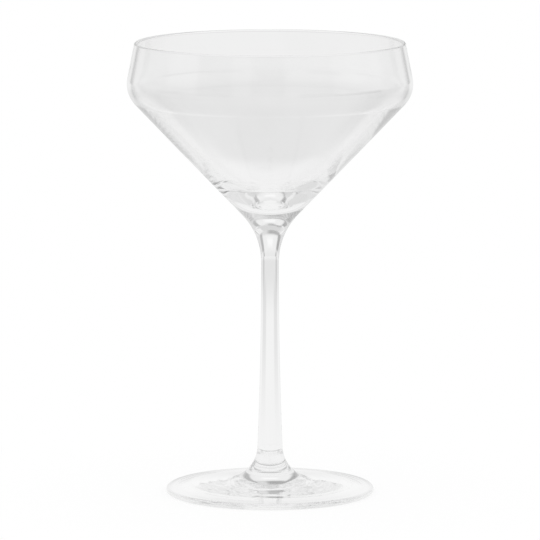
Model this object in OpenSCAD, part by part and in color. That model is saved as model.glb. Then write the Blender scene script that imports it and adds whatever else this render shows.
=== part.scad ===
// Clear coupe glass in three pieces of glass: a blown bowl, a drawn stem and a pressed foot.
// The pieces meet face to face at two flat round welds, and all are turned about the Z axis.
// Z = 0 is the table that the foot's rest ring stands on.

/* [Overall] */
// Height from the table to the rim
glass_h = 172; // [150:1:200]

/* [Bowl outside] */
// Outside diameter at the rim
rim_d = 102.4; // [98:0.2:106]
// Outside diameter at the shoulder, the widest place
bowl_d = 108; // [104:0.5:116]
// Drop from the rim to the middle of the shoulder curve
shoulder_drop = 15.7; // [13:0.1:22]
// Outside radius of the shoulder curve
shoulder_r = 11; // [7:0.5:13]
// Slope of the cone below the shoulder, in degrees from level
cone_slope = 46.3; // [40:0.1:52]
// Radius of the hollow curve of the neck, between the cone and the stem
neck_r = 26.3; // [18:0.1:34]

/* [Bowl inside] */
// Thickness of the rim, which is rounded over
rim_t = 1.6; // [1:0.1:2.4]
// Thickness of the wall at the shoulder
shoulder_t = 1.7; // [1:0.1:3]
// Thickness of the wall at the edge of the floor, square to the outside
floor_edge_t = 3.5; // [2:0.1:5]
// Diameter of the floor, where the wall ends
floor_d = 37.4; // [34:0.2:44]
// Turn from the wall to the slope of the floor, in degrees
floor_turn = 10.8; // [6:0.2:14]
// Radius of the wide curve that leads from the wall to the floor
corner_r = 80; // [20:5:100]
// Radius of the round middle of the floor
floor_r = 16.5; // [8:0.5:20]

/* [Stem] */
// Diameter of the stem at its thinnest place
stem_d = 6.7; // [5:0.1:9]
// Growth of the stem's radius from there down to the foot
stem_swell = 1.45; // [0.6:0.05:3]
// How far round the neck's curve the weld to the bowl lies, in degrees up from the stem
neck_weld_turn = 31; // [15:1:36]

/* [Foot] */
// Diameter of the foot
foot_d = 79; // [66:0.5:90]
// Thickness of the foot's rounded edge
edge_t = 2.5; // [1.6:0.1:4]
// Slope of the foot's top, in degrees from level
foot_slope = 7; // [4:0.5:10]
// Radius of the flare that leads from the foot's top up to the stem
flare_r = 12.7; // [8:0.1:17]
// Lean of the flare's side at the weld to the stem, in degrees from upright
flare_lean = 2.4; // [1:0.1:8]
// Width of the flat ring that the glass stands on
rest_w = 2.2; // [1.2:0.1:5]
// Rise of the hollow underside at its middle
hollow_h = 1.6; // [0.8:0.1:3]
// Fullness of the hollow: 2 is a round dome, and more is flatter in the middle
hollow_full = 4; // [2:0.5:6]

/* [Hidden] */

// Clear glass, with alpha as its last value
clear_glass = [0.93, 0.95, 0.95, 0.4];
// Sides of a turned piece
turn_sides = 128;
// Largest turn of one step along an arc, in degrees, and the fewest steps of an arc
arc_step = 4;
arc_min_steps = 8;
// Steps along the hollow underside
hollow_steps = 24;

// Half sizes
rim_rad = rim_d / 2;
bowl_rad = bowl_d / 2;
stem_rad = stem_d / 2;
foot_rad = foot_d / 2;
floor_rad = floor_d / 2;
lip_r = rim_t / 2;
edge_r = edge_t / 2;

// Centres of the rim's rounding and of the shoulder curve, and the inside radius of that curve
lip_c = [rim_rad - lip_r, glass_h - lip_r];
shoulder_c = [bowl_rad - shoulder_r, glass_h - shoulder_drop];
shoulder_in_r = shoulder_r - shoulder_t;

// Directions, as angles from +X, in which the two faces of the upper wall look out.
// The outer face touches both circles from outside, the inner face passes between them.
lip_v = lip_c - shoulder_c;
upper_out_a = angle_of(lip_v) - acos((shoulder_r - lip_r) / norm(lip_v));
upper_in_a = angle_of(lip_v) - acos((shoulder_in_r + lip_r) / norm(lip_v));

// Outside of the cone: the direction it looks in, and its distance from the origin along that
cone_a = cone_slope - 90;
cone_off = shoulder_c * unit(cone_a) + shoulder_r;

// Edge of the floor, one wall inside the cone
floor_edge = [
    floor_rad,
    (cone_off - floor_edge_t - floor_rad * cos(cone_a)) / sin(cone_a)
];
// Inside wall: the line from the floor's edge that touches the inside of the shoulder curve
wall_v = shoulder_c - floor_edge;
wall_a = angle_of(wall_v) - acos(-shoulder_in_r / norm(wall_v));
wall_off = floor_edge * unit(wall_a);
// Sloping part of the floor, from the same edge
floor_a = wall_a - floor_turn;
floor_off = floor_edge * unit(floor_a);
// Centres of the corner curve and of the floor's round middle
corner_c = meet(wall_a, wall_off - corner_r, floor_a, floor_off - corner_r);
floor_c = [0, (floor_off - floor_r) / sin(floor_a)];

// Neck curve, tangent to the cone and upright where it reaches the stem
neck_x = stem_rad + neck_r;
neck_c = [neck_x, (cone_off + neck_r - neck_x * cos(cone_a)) / sin(cone_a)];
neck_weld = neck_c + neck_r * unit(180 - neck_weld_turn);

// Flare of the foot, tangent to the foot's sloping top and ending at the weld to the stem
foot_weld_r = stem_rad + stem_swell;
edge_c = [foot_rad - edge_r, edge_r];
top_a = 90 - foot_slope;
top_off = edge_c * unit(top_a) + edge_r;
flare_x = foot_weld_r + flare_r * cos(flare_lean);
flare_c = [flare_x, (top_off + flare_r - flare_x * cos(top_a)) / sin(top_a)];
foot_weld = flare_c + flare_r * unit(180 + flare_lean);

// Side of the stem, an arc that is upright at the neck and reaches the weld to the foot
stem_drop = neck_c.y - foot_weld.y;
stem_side_r = (stem_drop * stem_drop + stem_swell * stem_swell) / (2 * stem_swell);
stem_side_c = [stem_rad + stem_side_r, neck_c.y];
stem_side_turn = asin(stem_drop / stem_side_r);

// Inside radius of the rest ring, where the hollow underside ends
rest_in_r = edge_c.x - rest_w;

// Unit vector at an angle, and the angle of a vector
function unit(a) = [cos(a), sin(a)];
function angle_of(v) = atan2(v.y, v.x);

// Point where two lines meet, each given by the direction it looks in and its distance along that
function meet(a1, d1, a2, d2) = [
    (d1 * sin(a2) - d2 * sin(a1)) / sin(a2 - a1),
    (d2 * cos(a1) - d1 * cos(a2)) / sin(a2 - a1)
];

// Points along an arc about c from angle a0 to a1
function arc_steps(a0, a1) = max(arc_min_steps, ceil(abs(a1 - a0) / arc_step));
function arc(c, r, a0, a1) = [
    for (i = [0:arc_steps(a0, a1)]) c + r * unit(a0 + (a1 - a0) * i / arc_steps(a0, a1))
];
// The same arc without its first point, to follow one that ends there
function arc_after(c, r, a0, a1) = [
    for (i = [1:arc_steps(a0, a1)]) c + r * unit(a0 + (a1 - a0) * i / arc_steps(a0, a1))
];

// Points along the hollow underside, from the axis out: the rise falls off as a power of the radius
function hollow_curve() = [
    for (i = [0:hollow_steps]) [
        rest_in_r * i / hollow_steps,
        hollow_h * (1 - pow(i / hollow_steps, hollow_full))
    ]
];

// A piece of clear glass turned about Z from half its section
module turned_glass(section) {
    color(clear_glass)
        rotate_extrude($fn = turn_sides)
            polygon(section);
}

// Blown bowl: up its outside from the weld to the rim, over the lip and down its inside to the floor
module bowl() {
    turned_glass(concat(
        [[0, neck_weld.y]],
        arc(neck_c, neck_r, 180 - neck_weld_turn, 180 + cone_a),
        arc(shoulder_c, shoulder_r, cone_a, 0),
        arc_after(shoulder_c, shoulder_r, 0, upper_out_a),
        arc(lip_c, lip_r, upper_out_a, 180 + upper_in_a),
        arc(shoulder_c, shoulder_in_r, upper_in_a, wall_a),
        arc(corner_c, corner_r, wall_a, floor_a),
        arc(floor_c, floor_r, floor_a, -90)
    ));
}

// Drawn stem: from the weld on the foot up its side and round the neck to the weld under the bowl
module stem() {
    turned_glass(concat(
        [[0, foot_weld.y]],
        arc(stem_side_c, stem_side_r, 180 + stem_side_turn, 180),
        arc_after(neck_c, neck_r, 180, 180 - neck_weld_turn),
        [[0, neck_weld.y]]
    ));
}

// Pressed foot: out along the hollow and the rest ring, round the edge, and up the flare to the weld
module foot() {
    turned_glass(concat(
        hollow_curve(),
        arc(edge_c, edge_r, -90, top_a),
        arc(flare_c, flare_r, 180 + top_a, 180 + flare_lean),
        [[0, foot_weld.y]]
    ));
}

bowl();
stem();
foot();
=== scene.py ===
"""Looks of a clear coupe glass: a blown bowl, a drawn stem and a pressed foot, welded while hot.

Units are metres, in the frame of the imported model: Z is the axis of the glass, Z = 0 the table.
A section is half of a piece's cut through the axis, in the plane of r (out from the axis) and z.
Its angles are in degrees from +r towards +z.
"""

import math
from collections import namedtuple

import bpy
import numpy as np
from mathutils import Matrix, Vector


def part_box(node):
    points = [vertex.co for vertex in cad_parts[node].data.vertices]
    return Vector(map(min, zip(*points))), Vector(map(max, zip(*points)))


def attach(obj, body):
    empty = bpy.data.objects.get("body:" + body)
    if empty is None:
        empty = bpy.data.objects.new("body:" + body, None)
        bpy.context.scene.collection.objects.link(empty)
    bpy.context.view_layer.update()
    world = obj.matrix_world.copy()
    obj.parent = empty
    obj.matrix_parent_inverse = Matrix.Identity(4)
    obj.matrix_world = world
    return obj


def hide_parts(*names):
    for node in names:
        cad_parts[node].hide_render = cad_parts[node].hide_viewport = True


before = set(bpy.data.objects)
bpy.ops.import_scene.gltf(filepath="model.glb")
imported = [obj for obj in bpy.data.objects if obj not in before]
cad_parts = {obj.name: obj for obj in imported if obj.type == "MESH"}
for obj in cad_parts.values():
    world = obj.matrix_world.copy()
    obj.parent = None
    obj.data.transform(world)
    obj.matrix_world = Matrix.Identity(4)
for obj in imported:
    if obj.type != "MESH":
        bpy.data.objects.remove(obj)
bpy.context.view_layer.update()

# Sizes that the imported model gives
bowl_low, bowl_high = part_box("bowl")
foot_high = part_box("foot")[1]
GLASS_H = bowl_high.z
BOWL_RAD = bowl_high.x
FOOT_RAD = foot_high.x
NECK_WELD_Z = bowl_low.z
FOOT_WELD_Z = foot_high.z

# Outside of the bowl
RIM_RAD = 0.0512
SHOULDER_DROP = 0.0157
SHOULDER_R = 0.011
CONE_SLOPE = 46.3
NECK_R = 0.0263

# Inside of the bowl
RIM_T = 0.0016
SHOULDER_T = 0.0017
FLOOR_EDGE_T = 0.0035
FLOOR_RAD = 0.0187
FLOOR_TURN = 10.8
CORNER_R = 0.080
FLOOR_R = 0.0165

# Stem and foot
STEM_RAD = 0.00335
STEM_SWELL = 0.00145
EDGE_T = 0.0025
FOOT_SLOPE = 7.0
FLARE_R = 0.0127
FLARE_LEAN = 2.4
REST_W = 0.0022
HOLLOW_H = 0.0016
HOLLOW_FULL = 4

# Fineness of the meshes: sides of each piece, longest step along each section,
# largest turn of one step along an arc in degrees, and the fewest steps of an arc
BOWL_SIDES = 600
STEM_SIDES = 320
FOOT_SIDES = 400
BOWL_STEP = 0.002
STEM_STEP = 0.0008
FOOT_STEP = 0.0004
ARC_STEP = 4.0
ARC_MIN_STEPS = 8
# Ends of two stretches that are nearer than this are one point
SAME_POINT = 0.000001

# Faint relief of hot-worked glass. Each set of waves has a depth and a pitch, wanders of its crests
# as reach, times round the axis and start angle in radians, the stretch it lies on, and its soft ends.
Waves = namedtuple("Waves", "depth pitch wanders low high soft")
WALL_WAVES = Waves(
    depth=0.0000005, pitch=0.022, wanders=((0.006, 2, 0.7), (0.003, 5, 0.0)),
    low=NECK_WELD_Z + 0.020, high=GLASS_H - 0.002, soft=0.006,
)
NECK_WAVES = Waves(
    depth=0.000006, pitch=0.0075, wanders=((0.004, 3, 1.1),),
    low=NECK_WELD_Z + 0.001, high=NECK_WELD_Z + 0.030, soft=0.006,
)
WELD_WAVES = Waves(
    depth=0.000006, pitch=0.0022, wanders=((0.0002, 1, 0.5),),
    low=0.0002, high=0.009, soft=0.003,
)
UNDER_WAVES = Waves(
    depth=0.000006, pitch=0.006, wanders=((0.0015, 2, 1.9),),
    low=0.004, high=0.032, soft=0.006,
)
FLARE_WAVES = Waves(
    depth=0.000008, pitch=0.0024, wanders=((0.0003, 1, 0.0),),
    low=0.0055, high=FOOT_WELD_Z - 0.0002, soft=0.002,
)
TOP_WAVES = Waves(
    depth=0.000012, pitch=0.0036, wanders=((0.0016, 2, 0.4), (0.0006, 3, 0.0)),
    low=0.010, high=FOOT_RAD - 0.004, soft=0.004,
)
# Radii over which the neck's waves fade in, and heights over which those on the foot's top do
NECK_FADE = (0.004, 0.010)
TOP_FADE = (0.0026, 0.0030)
# Length of the soft end of all relief at the ends of a run, and least radius for slopes round the axis
RUN_END = 0.0005
AXIS_GUARD = 0.0001

# The photograph's camera, fitted to the outline of the glass
CAMERA_AT = (0.0, -2.0, 0.370)
CAMERA_AIM = (0.0, 0.0, 0.0853)
CAMERA_LENS = 355.4
CAMERA_CLIP = (0.01, 50.0)
SENSOR_W = 36.0

GLASS_IOR = 1.52
WHITE = (1, 1, 1, 1)

# Studio around the glass. Azimuth is in degrees from the back towards the right, elevation up from level.
# Each panel has an azimuth, half a width, a low and a high elevation, soft edges across and up, and a tone.
ROOM_TONE = 0.72
STUDIO_PANELS = {
    "ceiling": (0, 200, 50, 100, 5, 8, 0.66),
    "right_softbox": (100, 26, 4, 60, 4, 4, 0.86),
    "left_softbox": (-102, 15, 4, 36, 3, 4, 0.84),
    "right_shelf": (104, 26, -90, 3, 4, 4, 0.1),
    "left_shelf": (-90, 14, -90, 4, 6, 6, 0.5),
    "right_flag": (141, 15, -90, 12, 3, 4, 0.45),
    "left_flag": (-133, 15, -90, 16, 3, 4, 0.45),
    "right_strip": (48, 13, -90, 4, 2, 2, 0.84),
    "left_strip": (-48, 13, -90, 4, 2, 2, 0.84),
    "backdrop": (0, 25, -90, 27, 3, 4, 0.88),
    "backdrop_glow": (0, 9, 8, 20, 4, 4, 0.98),
    "horizon": (0, 25, -90, 2, 3, 5, 0.82),
    "left_rafter": (-22, 28, 29, 58, 8, 4, 0.4),
    "left_gap": (-36, 8, 6, 36, 3, 2, 0.36),
    "right_gap": (33, 7, 4, 36, 3, 2, 0.45),
    "left_low_gap": (-29, 4.5, -90, 2.5, 1, 2, 0.53),
    "right_low_gap": (29, 4.5, -90, 2.5, 1, 2, 0.53),
    "dark_window": (182, 14, 3, 60, 2, 4, 0.5),
}

# Table. Away is the way out from the glass, turn is in degrees from straight behind it to either side.
TABLE_REACH = 3.0
TABLE_SIDES = 256
# Its painted tones of light and shade as the glass shows them, near the glass, further out, far away and in
# front, and where each of them comes in
TABLE_NEAR = 0.91
TABLE_MID = 0.78
TABLE_FAR = 0.87
TABLE_FRONT = 0.76
MID_AWAY = (0.39, 0.59)
FAR_AWAY = (0.7, 1.4)
FRONT_AWAY = (0.6, 1.6)
FRONT_TURN = (70, 100)
# Share of tone left in a near and a far lane of painted shade to either side, and in a painted contact
# shadow close behind the foot, and where they lie
NEAR_SHADE_LANE = 0.84
NEAR_SHADE_LANE_AWAY = (0.05, 0.4, 0.45, 0.6)
NEAR_SHADE_LANE_TURN = (14, 22, 38, 46)
FAR_SHADE_LANE = 0.75
FAR_SHADE_LANE_AWAY = (0.45, 0.6)
FAR_SHADE_LANE_TURN = (27, 31, 38, 44)
CONTACT_SHADOW = 0.62
CONTACT_SHADOW_AWAY = (0.036, 0.038, 0.040, 0.045)
CONTACT_SHADOW_TURN = (50, 110)
# Share of the glass's own shadow, and where it fades out
SHADOW = 0.12
SHADOW_AWAY = (0.05, 0.14)

# Light bounces: many, because the lip guides light far round the bowl
BOUNCES = 600

# A mix node's places for its share and its two inputs, and for its output, by the kind of data
MIX_INPUTS = {"FLOAT": (0, 2, 3), "RGBA": (0, 6, 7)}
MIX_OUTPUT = {"FLOAT": 0, "RGBA": 2}


def unit(angle):
    """Unit vector, or a row of them, at an angle."""
    a = np.radians(angle)
    return np.stack([np.cos(a), np.sin(a)], -1)


def angle_of(v):
    """Angle of a vector."""
    return math.degrees(math.atan2(v[1], v[0]))


def meet(a1, d1, a2, d2):
    """Point where two lines meet, each given by the direction it looks in and its distance along that."""
    return np.linalg.solve(np.stack([unit(a1), unit(a2)]), np.array([d1, d2]))


def arc(centre, radius, start, end, step, hollow=False):
    """Arc of a section: centre + radius * unit(a) for a from start to end, with the normal unit(a).

    A hollow arc has its glass outside the circle, so its normal is turned round.
    Rows are r, z and the two parts of the normal.
    """
    turn = abs(end - start)
    length = radius * math.radians(turn)
    steps = max(ARC_MIN_STEPS, math.ceil(turn / ARC_STEP), math.ceil(length / step))
    out = unit(np.linspace(start, end, steps + 1))
    return np.hstack([centre + radius * out, -out if hollow else out])


def level(r0, r1, z, up):
    """Level stretch of a section from r0 to r1 at height z, facing up or down."""
    facing = 1 if up else -1
    return np.array([[r0, z, 0, facing], [r1, z, 0, facing]])


def joined(*stretches, step):
    """Smooth run of a section: the stretches in order, with straight steps between the ends of each pair.

    A straight step runs evenly from one end point to the next and carries the normal over evenly, too.
    """
    run = [stretches[0]]
    for stretch in stretches[1:]:
        first, last = run[-1][-1], stretch[0]
        gap = np.hypot(*(last - first)[:2])
        if gap > SAME_POINT:
            share = np.linspace(0, 1, math.ceil(gap / step) + 1)[1:-1, None]
            run.append(first + (last - first) * share)
            run.append(stretch)
        else:
            run.append(stretch[1:])
    return np.vstack(run)


def neck_line():
    """Outside of the cone, as the direction it looks in and its distance, and the centres of two curves.

    The cone touches the shoulder curve, and the neck's curve touches the cone and the upright stem.
    """
    cone_a = CONE_SLOPE - 90
    shoulder_c = np.array([BOWL_RAD - SHOULDER_R, GLASS_H - SHOULDER_DROP])
    cone_off = shoulder_c @ unit(cone_a) + SHOULDER_R
    neck_x = STEM_RAD + NECK_R
    neck_z = (cone_off + NECK_R - neck_x * unit(cone_a)[0]) / unit(cone_a)[1]
    return cone_a, cone_off, shoulder_c, np.array([neck_x, neck_z])


def neck_weld_turn(neck_c):
    """Turn round the neck's curve from the upright stem up to the weld under the bowl."""
    return math.degrees(math.asin((NECK_WELD_Z - neck_c[1]) / NECK_R))


def bowl_section():
    """Bowl: out along the weld, up neck, cone, shoulder and upper wall, over the lip and down inside."""
    cone_a, cone_off, shoulder_c, neck_c = neck_line()
    lip_r = RIM_T / 2
    inner_r = SHOULDER_R - SHOULDER_T
    lip_c = np.array([RIM_RAD - lip_r, GLASS_H - lip_r])
    lip_v = lip_c - shoulder_c
    reach = np.hypot(*lip_v)
    upper_out = angle_of(lip_v) - math.degrees(math.acos((SHOULDER_R - lip_r) / reach))
    upper_in = angle_of(lip_v) - math.degrees(math.acos((inner_r + lip_r) / reach))

    edge_z = (cone_off - FLOOR_EDGE_T - FLOOR_RAD * unit(cone_a)[0]) / unit(cone_a)[1]
    floor_edge = np.array([FLOOR_RAD, edge_z])
    wall_v = shoulder_c - floor_edge
    wall_a = angle_of(wall_v) - math.degrees(math.acos(-inner_r / np.hypot(*wall_v)))
    floor_a = wall_a - FLOOR_TURN
    wall_off = floor_edge @ unit(wall_a)
    floor_off = floor_edge @ unit(floor_a)
    corner_c = meet(wall_a, wall_off - CORNER_R, floor_a, floor_off - CORNER_R)
    floor_c = np.array([0, (floor_off - FLOOR_R) / unit(floor_a)[1]])

    outside = joined(
        arc(neck_c, NECK_R, 180 - neck_weld_turn(neck_c), 180 + cone_a, BOWL_STEP, hollow=True),
        arc(shoulder_c, SHOULDER_R, cone_a, upper_out, BOWL_STEP),
        arc(lip_c, lip_r, upper_out, 180 + upper_in, BOWL_STEP),
        arc(shoulder_c, inner_r, upper_in, wall_a, BOWL_STEP, hollow=True),
        arc(corner_c, CORNER_R, wall_a, floor_a, BOWL_STEP, hollow=True),
        arc(floor_c, FLOOR_R, floor_a, -90, BOWL_STEP, hollow=True),
        step=BOWL_STEP,
    )
    outside[-1, 0] = 0
    weld = level(0, outside[0, 0], NECK_WELD_Z, up=False)
    return [weld, outside], [0]


def stem_section():
    """Stem: out along the weld on the foot, up its side and the neck, and in along the bowl's weld."""
    neck_c = neck_line()[-1]
    drop = neck_c[1] - FOOT_WELD_Z
    side_r = (drop * drop + STEM_SWELL * STEM_SWELL) / (2 * STEM_SWELL)
    side_c = np.array([STEM_RAD + side_r, neck_c[1]])
    side_turn = math.degrees(math.asin(drop / side_r))
    side = joined(
        arc(side_c, side_r, 180 + side_turn, 180, STEM_STEP, hollow=True),
        arc(neck_c, NECK_R, 180, 180 - neck_weld_turn(neck_c), STEM_STEP, hollow=True),
        step=STEM_STEP,
    )
    foot_weld = level(0, side[0, 0], FOOT_WELD_Z, up=False)
    neck_weld = level(side[-1, 0], 0, NECK_WELD_Z, up=True)
    return [foot_weld, side, neck_weld], [0, 2]


def foot_section():
    """Foot: out along the hollow and the rest ring, round the edge, up the flare and in along the weld.

    The hollow is z = HOLLOW_H * (1 - (r / rest_in) ** HOLLOW_FULL), almost flat in the middle.
    """
    edge_r = EDGE_T / 2
    edge_c = np.array([FOOT_RAD - edge_r, edge_r])
    top_a = 90 - FOOT_SLOPE
    top_off = edge_c @ unit(top_a) + edge_r
    flare_x = STEM_RAD + STEM_SWELL + FLARE_R * math.cos(math.radians(FLARE_LEAN))
    flare_c = np.array([flare_x, (top_off + FLARE_R - flare_x * unit(top_a)[0]) / unit(top_a)[1]])
    rest_in = edge_c[0] - REST_W
    out = np.linspace(0, 1, math.ceil(rest_in / FOOT_STEP) + 1)
    fall = HOLLOW_H * HOLLOW_FULL / rest_in * out ** (HOLLOW_FULL - 1)
    down = np.stack([-fall, -np.ones_like(fall)], -1) / np.hypot(fall, 1)[:, None]
    hollow = np.hstack([np.stack([rest_in * out, HOLLOW_H * (1 - out ** HOLLOW_FULL)], -1), down])
    outside = joined(
        level(rest_in, edge_c[0], 0, up=False),
        arc(edge_c, edge_r, -90, top_a, FOOT_STEP),
        arc(flare_c, FLARE_R, 180 + top_a, 180 + FLARE_LEAN, FOOT_STEP, hollow=True),
        step=FOOT_STEP,
    )
    outside[-1, 1] = FOOT_WELD_Z
    weld = level(outside[-1, 0], 0, FOOT_WELD_Z, up=True)
    return [hollow, outside, weld], [2]


def fade(x, x0, x1):
    """Smooth step from 0 at x0 to 1 at x1: h * h * (3 - 2 h) with h running from 0 to 1."""
    h = np.clip((x - x0) / (x1 - x0), 0, 1)
    return h * h * (3 - 2 * h)


def between(x, x0, x1, soft):
    """1 between x0 and x1 and 0 outside, with soft ends inside that stretch."""
    return fade(x, x0, x0 + soft) * (1 - fade(x, x1 - soft, x1))


def relief_of(kind, way, place, t):
    """Relief of one set of waves: depth * sin(2 pi (way + wander) / pitch), where place is on its stretch.

    The wander is the sum of reach * sin(times * t + start), so crests shift to and fro round the axis.
    """
    wander = sum(reach * np.sin(times * t + start) for reach, times, start in kind.wanders)
    crests = np.sin(2 * np.pi * (way + wander) / kind.pitch)
    return kind.depth * crests * between(place, kind.low, kind.high, kind.soft)


def bowl_relief(run, s, r, z, t):
    """Bowl: slow waves in the blown wall, and shorter ones low in the cone where it was worked last."""
    return relief_of(WALL_WAVES, s, z, t) + relief_of(NECK_WAVES, s, z, t) * fade(r, *NECK_FADE)


def stem_relief(run, s, r, z, t):
    """Stem: a few fine rings just above the weld on the foot."""
    return relief_of(WELD_WAVES, s, s, t)


def foot_relief(run, s, r, z, t):
    """Foot: slow waves under it (run 0), fine rings round the flare and wider ones on the top (run 1)."""
    if run == 0:
        return relief_of(UNDER_WAVES, r, r, t)
    rings = relief_of(FLARE_WAVES, FOOT_WELD_Z - z + r, z, t)
    return rings + relief_of(TOP_WAVES, r, r, t) * fade(z, *TOP_FADE)


def way_along(run):
    """Way along a run to each of its points, as a column."""
    steps = np.hypot(*np.diff(run[:, :2], axis=0).T)
    return np.concatenate([[0], np.cumsum(steps)])[:, None]


def turned_surface(run, s, t, depth):
    """Places and normals of a run turned about Z, as grids with a row for each ring.

    A place is (r cos t, r sin t, z) + d n, where n is the section's normal (n_r cos t, n_r sin t, n_z) and
    d the depth of the relief there. Its normal is n - (dd/ds) e_s - (dd/dt) e_t / r, made one long,
    with e_s along the run and e_t round the axis.
    """
    r, z, n_r, n_z = (run[:, i, None] for i in range(4))
    cos_t, sin_t, flat = np.cos(t), np.sin(t), np.zeros_like(t)
    n = np.stack([n_r * cos_t, n_r * sin_t, n_z + flat], -1)
    e_s = np.stack([-n_z * cos_t, -n_z * sin_t, n_r + flat], -1)
    e_t = np.stack([-sin_t, cos_t, flat], -1)
    d_s = np.gradient(depth, s[:, 0], axis=0)
    d_t = (np.roll(depth, -1, 1) - np.roll(depth, 1, 1)) * len(t) / (4 * np.pi)
    normal = n - d_s[..., None] * e_s - (d_t / np.maximum(r, AXIS_GUARD))[..., None] * e_t
    normal /= np.linalg.norm(normal, axis=-1, keepdims=True)
    place = np.stack([r * cos_t, r * sin_t, z + flat], -1) + depth[..., None] * n
    return place, normal


def ring_faces(at, normal, pole):
    """Faces between the rings of a run, and the normals at their corners.

    At holds the number of each ring's points. Rings are joined by quads, or by triangles at a pole.
    """
    next_at, next_normal = np.roll(at, -1, 1), np.roll(normal, -1, 1)
    corners = np.stack([at[:-1], next_at[:-1], next_at[1:], at[1:]], -1)
    corner_normals = np.stack([normal[:-1], next_normal[:-1], next_normal[1:], normal[1:]], -2)
    from_pole, to_pole = pole[:-1], pole[1:]
    no_pole = ~(from_pole | to_pole)
    faces, normals = [], []
    for here, used in ((from_pole, [0, 2, 3]), (no_pole, [0, 1, 2, 3]), (to_pole, [0, 1, 3])):
        faces += corners[here][..., used].reshape(-1, len(used)).tolist()
        normals.append(corner_normals[here][..., used, :].reshape(-1, 3))
    return faces, np.vstack(normals)


def turned(name, section, sides, relief, finishes):
    """Turns a section about Z into a closed shell with a faint relief, at the angles t = 2 pi k / sides.

    A ring with r = 0 is a pole of one point. A run shares its first ring with the run before it, and the
    relief is 0 there, so the shell is closed. Runs that are welds stay flat, and take the second finish.
    """
    runs, weld_runs = section
    side = np.arange(sides)
    t = 2 * np.pi * side / sides
    points, faces, normals, finish_of = [], [], [], []
    first = 0
    for number, run in enumerate(runs):
        welded = number in weld_runs
        s = way_along(run)
        depth = np.zeros((len(run), sides))
        if not welded:
            soft_ends = between(s, 0, s[-1], RUN_END)
            depth = relief(number, s, run[:, :1], run[:, 1:2], t) * soft_ends
        place, normal = turned_surface(run, s, t, depth)

        pole = run[:, 0] == 0
        count = np.where(pole, 1, sides)
        start = first + np.cumsum(count) - count
        at = start[:, None] + np.where(pole[:, None], 0, side)
        own = side < count[:, None]
        own[0] &= number == 0
        points.append(place[own])
        first = start[-1]

        run_faces, run_normals = ring_faces(at, normal, pole)
        faces += run_faces
        normals.append(run_normals)
        finish_of += [int(welded)] * len(run_faces)

    mesh = bpy.data.meshes.new(name)
    mesh.from_pydata(np.vstack(points).tolist(), [], faces)
    mesh.polygons.foreach_set("use_smooth", np.ones(len(faces), bool))
    mesh.polygons.foreach_set("material_index", finish_of)
    for finish in finishes:
        mesh.materials.append(finish)
    mesh.normals_split_custom_set(np.vstack(normals))
    piece = bpy.data.objects.new(name, mesh)
    bpy.context.scene.collection.objects.link(piece)
    return piece


def put(tree, value, socket):
    """Gives a socket its value: a link from another socket, or a number, vector or colour of its own."""
    if isinstance(value, bpy.types.NodeSocket):
        tree.links.new(value, socket)
    else:
        socket.default_value = value


def math_node(tree, operation, *values):
    """Math node on values that are sockets or numbers."""
    node = tree.nodes.new("ShaderNodeMath")
    node.operation = operation
    for socket, value in zip(node.inputs, values):
        put(tree, value, socket)
    return node.outputs[0]


def product(tree, a, b):
    """Product of two values."""
    return math_node(tree, "MULTIPLY", a, b)


def ramp(tree, value, x0, x1, y0=0.0, y1=1.0):
    """Smooth step of a value: y0 up to x0, y1 from x1."""
    node = tree.nodes.new("ShaderNodeMapRange")
    node.interpolation_type = "SMOOTHSTEP"
    names = ("Value", "From Min", "From Max", "To Min", "To Max")
    for name, number in zip(names, (value, x0, x1, y0, y1)):
        put(tree, number, node.inputs[name])
    return node.outputs[0]


def band(tree, value, x0, x1, x2, x3):
    """Soft band of a value: 0 up to x0, 1 from x1 to x2, 0 from x3."""
    return product(tree, ramp(tree, value, x0, x1), ramp(tree, value, x2, x3, 1.0, 0.0))


def mix(tree, share, a, b, kind="FLOAT"):
    """Value or colour a, or b by its share."""
    node = tree.nodes.new("ShaderNodeMix")
    node.data_type = kind
    for place, value in zip(MIX_INPUTS[kind], (share, a, b)):
        put(tree, value, node.inputs[place])
    return node.outputs[MIX_OUTPUT[kind]]


def noise(tree, vector, scale, detail, distortion):
    """Noise from 0 to 1 at a scale, with its octaves and how far it is drawn out of shape."""
    node = tree.nodes.new("ShaderNodeTexNoise")
    names = ("Vector", "Scale", "Detail", "Distortion")
    for name, value in zip(names, (vector, scale, detail, distortion)):
        put(tree, value, node.inputs[name])
    return node.outputs["Fac"]


def new_group(name, inputs, outputs):
    """Empty node group, as (group, its input node, its output node).

    Inputs and outputs map names to socket types.
    """
    group = bpy.data.node_groups.new(name, "ShaderNodeTree")
    for in_out, sockets in (("INPUT", inputs), ("OUTPUT", outputs)):
        for socket, kind in sockets.items():
            group.interface.new_socket(socket, in_out=in_out, socket_type="NodeSocket" + kind)
    return group, group.nodes.new("NodeGroupInput"), group.nodes.new("NodeGroupOutput")


def place_group(tree, group, values):
    """Node that uses a group, with its values given by name."""
    node = tree.nodes.new("ShaderNodeGroup")
    node.node_tree = group
    for name, value in values.items():
        put(tree, value, node.inputs[name])
    return node


def make_melt_marks():
    """Node group for what a melt leaves in clear glass: drawn-out cords, and pools of duller polish."""
    group, given, out = new_group(
        "melt_marks",
        {
            "Vector": "Vector", "Cord Scale": "Float", "Pool Scale": "Float",
            "Cord Tint": "Color", "Haze": "Float",
        },
        {"Tint": "Color", "Roughness": "Float", "Height": "Float"},
    )
    value = given.outputs
    cords = noise(group, value["Vector"], value["Cord Scale"], detail=3.0, distortion=0.8)
    pools = noise(group, value["Vector"], value["Pool Scale"], detail=2.0, distortion=0.0)
    cord = ramp(group, cords, 0.35, 0.75)
    pool = ramp(group, pools, 0.45, 0.75)
    put(group, mix(group, cord, WHITE, value["Cord Tint"], "RGBA"), out.inputs["Tint"])
    put(group, product(group, pool, value["Haze"]), out.inputs["Roughness"])
    put(group, cord, out.inputs["Height"])
    return group


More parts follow.
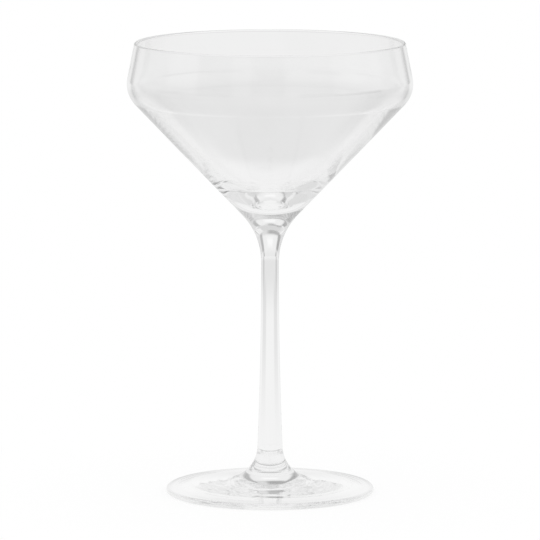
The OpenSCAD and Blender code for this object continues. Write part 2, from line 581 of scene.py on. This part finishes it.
def new_material(name):
    """Empty node material with its Principled shader, as (material, shader)."""
    material = bpy.data.materials.new(name)
    material.use_nodes = True
    return material, material.node_tree.nodes["Principled BSDF"]


def weld_face():
    """Face inside the glass where two pieces have flowed together, which can't be seen."""
    material, shader = new_material("weld_face")
    shader.inputs["Alpha"].default_value = 0.0
    return material


def clear_glass(name, melt_marks, drawn, cord_scale, pool_scale, cord_tint, haze, relief):
    """Clear soda-lime glass with its own melt marks: cords with a scale per axis, and their relief."""
    material, shader = new_material(name)
    tree = material.node_tree
    place = tree.nodes.new("ShaderNodeTexCoord")
    stretch = tree.nodes.new("ShaderNodeMapping")
    put(tree, place.outputs["Object"], stretch.inputs["Vector"])
    put(tree, drawn, stretch.inputs["Scale"])
    marks = place_group(tree, melt_marks, {
        "Vector": stretch.outputs["Vector"], "Cord Scale": cord_scale, "Pool Scale": pool_scale,
        "Cord Tint": cord_tint, "Haze": haze,
    })
    bump = tree.nodes.new("ShaderNodeBump")
    put(tree, marks.outputs["Height"], bump.inputs["Height"])
    put(tree, relief, bump.inputs["Distance"])
    put(tree, marks.outputs["Tint"], shader.inputs["Base Color"])
    put(tree, marks.outputs["Roughness"], shader.inputs["Roughness"])
    put(tree, bump.outputs["Normal"], shader.inputs["Normal"])
    shader.inputs["IOR"].default_value = GLASS_IOR
    shader.inputs["Transmission Weight"].default_value = 1.0
    return material


def add_piece(name, section, sides, relief, finishes, node):
    """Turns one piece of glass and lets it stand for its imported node."""
    piece = turned(name, section, sides, relief, finishes)
    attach(piece, "root")
    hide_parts(node)


def make_glass():
    """The three pieces of the glass, each with its own melt marks."""
    marks = make_melt_marks()
    weld = weld_face()
    bowl_glass = clear_glass(
        "blown_bowl_glass", marks, drawn=(1, 1, 0.5), cord_scale=45, pool_scale=30,
        cord_tint=(0.985, 0.985, 0.985, 1), haze=0.015, relief=0.000004,
    )
    stem_glass = clear_glass(
        "drawn_stem_glass", marks, drawn=(1, 1, 0.08), cord_scale=260, pool_scale=60,
        cord_tint=(0.98, 0.98, 0.98, 1), haze=0.015, relief=0.000002,
    )
    foot_glass = clear_glass(
        "pressed_foot_glass", marks, drawn=(1, 1, 2.5), cord_scale=70, pool_scale=40,
        cord_tint=(0.985, 0.985, 0.985, 1), haze=0.015, relief=0.000004,
    )
    add_piece("blown_bowl", bowl_section(), BOWL_SIDES, bowl_relief, (bowl_glass, weld), "bowl")
    add_piece("drawn_stem", stem_section(), STEM_SIDES, stem_relief, (stem_glass, weld), "stem")
    add_piece("pressed_foot", foot_section(), FOOT_SIDES, foot_relief, (foot_glass, weld), "foot")


def make_camera():
    """Camera at the photograph's angle: a long lens, looking a little down at the middle of the glass."""
    data = bpy.data.cameras.new("camera")
    camera = bpy.data.objects.new("camera", data)
    bpy.context.scene.collection.objects.link(camera)
    bpy.context.scene.camera = camera
    camera.location = CAMERA_AT
    camera.rotation_mode = "QUATERNION"
    camera.rotation_quaternion = (Vector(CAMERA_AIM) - Vector(CAMERA_AT)).to_track_quat("-Z", "Y")
    data.sensor_width = SENSOR_W
    data.lens = CAMERA_LENS
    data.clip_start, data.clip_end = CAMERA_CLIP


def split_vector(tree, vector):
    """The X, Y and Z of a vector, as sockets by name."""
    node = tree.nodes.new("ShaderNodeSeparateXYZ")
    put(tree, vector, node.inputs[0])
    return node.outputs


def azimuth_of(tree, parts):
    """Azimuth in degrees of a vector's parts, from +Y towards +X."""
    return math_node(tree, "DEGREES", math_node(tree, "ARCTAN2", parts["X"], parts["Y"]))


def painted_table_light_and_shade(tree, place, through):
    """Painted light and shade of the table as the glass shows it, and the way out from it, by place.

    The painted contact shadow behind the foot is only for rays through glass.
    """
    reach = tree.nodes.new("ShaderNodeVectorMath")
    reach.operation = "LENGTH"
    put(tree, place, reach.inputs[0])
    away = reach.outputs["Value"]
    turn = math_node(tree, "ABSOLUTE", azimuth_of(tree, split_vector(tree, place)))

    # Painted light and shade: the glass sees the table in these tones, though the camera sees it white
    tone = mix(tree, ramp(tree, away, *MID_AWAY), TABLE_NEAR, TABLE_MID)
    tone = mix(tree, ramp(tree, away, *FAR_AWAY), tone, TABLE_FAR)
    front = product(tree, ramp(tree, turn, *FRONT_TURN), ramp(tree, away, *FRONT_AWAY))
    tone = mix(tree, front, tone, TABLE_FRONT)
    near_shade_lane = product(tree, band(tree, turn, *NEAR_SHADE_LANE_TURN), band(tree, away, *NEAR_SHADE_LANE_AWAY))
    far_shade_lane = product(tree, band(tree, turn, *FAR_SHADE_LANE_TURN), ramp(tree, away, *FAR_SHADE_LANE_AWAY))
    # Painted contact shadow: a darker ring on the table just behind the foot's edge, seen only through
    # glass
    shadow_behind = product(tree, ramp(tree, turn, *CONTACT_SHADOW_TURN, 1.0, 0.0), through)
    contact_shadow = product(tree, band(tree, away, *CONTACT_SHADOW_AWAY), shadow_behind)
    for share, left in ((near_shade_lane, NEAR_SHADE_LANE), (far_shade_lane, FAR_SHADE_LANE), (contact_shadow, CONTACT_SHADOW)):
        tone = product(tree, tone, mix(tree, share, 1.0, left))
    return tone, away


def make_table():
    """Pale table: a flat white disc that keeps the glass's soft shadow, and shows painted tones of light
    and shade in the glass.

    The camera sees white, less a share of the shadow close to the glass.
    """
    mesh = bpy.data.meshes.new("table")
    t = 2 * np.pi * np.arange(TABLE_SIDES) / TABLE_SIDES
    rim = np.stack([TABLE_REACH * np.cos(t), TABLE_REACH * np.sin(t), 0 * t], -1)
    mesh.from_pydata(rim.tolist(), [], [list(range(TABLE_SIDES))])
    table = bpy.data.objects.new("table", mesh)
    bpy.context.scene.collection.objects.link(table)
    material = bpy.data.materials.new("pale_table")
    material.use_nodes = True
    material.cycles.emission_sampling = "NONE"
    mesh.materials.append(material)
    tree = material.node_tree
    tree.nodes.clear()
    place = tree.nodes.new("ShaderNodeTexCoord").outputs["Object"]
    rays = tree.nodes.new("ShaderNodeLightPath").outputs
    camera = rays["Is Camera Ray"]
    tone, away = painted_table_light_and_shade(tree, place, rays["Is Transmission Ray"])

    # The camera sees the table white; glossy and transmission rays see its painted light and shade
    glow = tree.nodes.new("ShaderNodeEmission")
    put(tree, mix(tree, camera, tone, 1.0), glow.inputs["Color"])
    paint = tree.nodes.new("ShaderNodeBsdfDiffuse")
    put(tree, WHITE, paint.inputs["Color"])
    cover = tree.nodes.new("ShaderNodeMixShader")
    put(tree, product(tree, ramp(tree, away, *SHADOW_AWAY, SHADOW, 0.0), camera), cover.inputs[0])
    put(tree, glow.outputs[0], cover.inputs[1])
    put(tree, paint.outputs[0], cover.inputs[2])
    out = tree.nodes.new("ShaderNodeOutputMaterial")
    put(tree, cover.outputs[0], out.inputs["Surface"])


def make_soft_panel():
    """Node group for one panel of the studio: 1 inside its azimuths and elevations, with soft edges."""
    names = ("Azimuth", "Elevation", "Centre", "Half Width", "Low", "High", "Edge Across", "Edge Up")
    group, given, out = new_group("soft_panel", dict.fromkeys(names, "Float"), {"Mask": "Float"})
    value = given.outputs
    away = math_node(group, "SUBTRACT", value["Azimuth"], value["Centre"])
    away = math_node(group, "ABSOLUTE", math_node(group, "WRAP", away, 180.0, -180.0))

    def edge(x, at, soft, y0, y1):
        """Soft edge of a value about a place."""
        low = math_node(group, "SUBTRACT", at, soft)
        return ramp(group, x, low, math_node(group, "ADD", at, soft), y0, y1)

    across = edge(away, value["Half Width"], value["Edge Across"], 1.0, 0.0)
    above = edge(value["Elevation"], value["Low"], value["Edge Up"], 0.0, 1.0)
    below = edge(value["Elevation"], value["High"], value["Edge Up"], 1.0, 0.0)
    put(group, product(group, across, product(group, above, below)), out.inputs["Mask"])
    return group


def make_world():
    """White studio: even light for the table, and soft panels of plain tones that the glass shows.

    The camera sees white, mirrored rays and rays through glass see the panels, and others see even light.
    """
    world = bpy.data.worlds.new("studio")
    bpy.context.scene.world = world
    world.use_nodes = True
    tree = world.node_tree
    tree.nodes.clear()
    parts = split_vector(tree, tree.nodes.new("ShaderNodeTexCoord").outputs["Generated"])
    azimuth = azimuth_of(tree, parts)
    elevation = math_node(tree, "DEGREES", math_node(tree, "ARCSINE", parts["Z"]))
    soft_panel = make_soft_panel()
    tone = ROOM_TONE
    for name, (centre, half, low, high, edge_across, edge_up, panel_tone) in STUDIO_PANELS.items():
        panel = place_group(tree, soft_panel, {
            "Azimuth": azimuth, "Elevation": elevation, "Centre": centre, "Half Width": half,
            "Low": low, "High": high, "Edge Across": edge_across, "Edge Up": edge_up,
        })
        panel.label = name
        tone = mix(tree, panel.outputs["Mask"], tone, panel_tone)
    rays = tree.nodes.new("ShaderNodeLightPath").outputs
    shown = math_node(tree, "MAXIMUM", rays["Is Camera Ray"], rays["Is Glossy Ray"])
    shown = math_node(tree, "MAXIMUM", shown, rays["Is Transmission Ray"])
    tone = mix(tree, rays["Is Camera Ray"], tone, 1.0)
    light = tree.nodes.new("ShaderNodeBackground")
    put(tree, mix(tree, shown, 1.0, tone), light.inputs["Color"])
    out = tree.nodes.new("ShaderNodeOutputWorld")
    put(tree, light.outputs[0], out.inputs[0])


make_glass()
make_camera()
make_table()
make_world()

scene = bpy.context.scene
scene.view_settings.view_transform = "Standard"
scene.cycles.max_bounces = BOUNCES
scene.cycles.transmission_bounces = BOUNCES
scene.cycles.glossy_bounces = BOUNCES
scene.cycles.transparent_max_bounces = BOUNCES
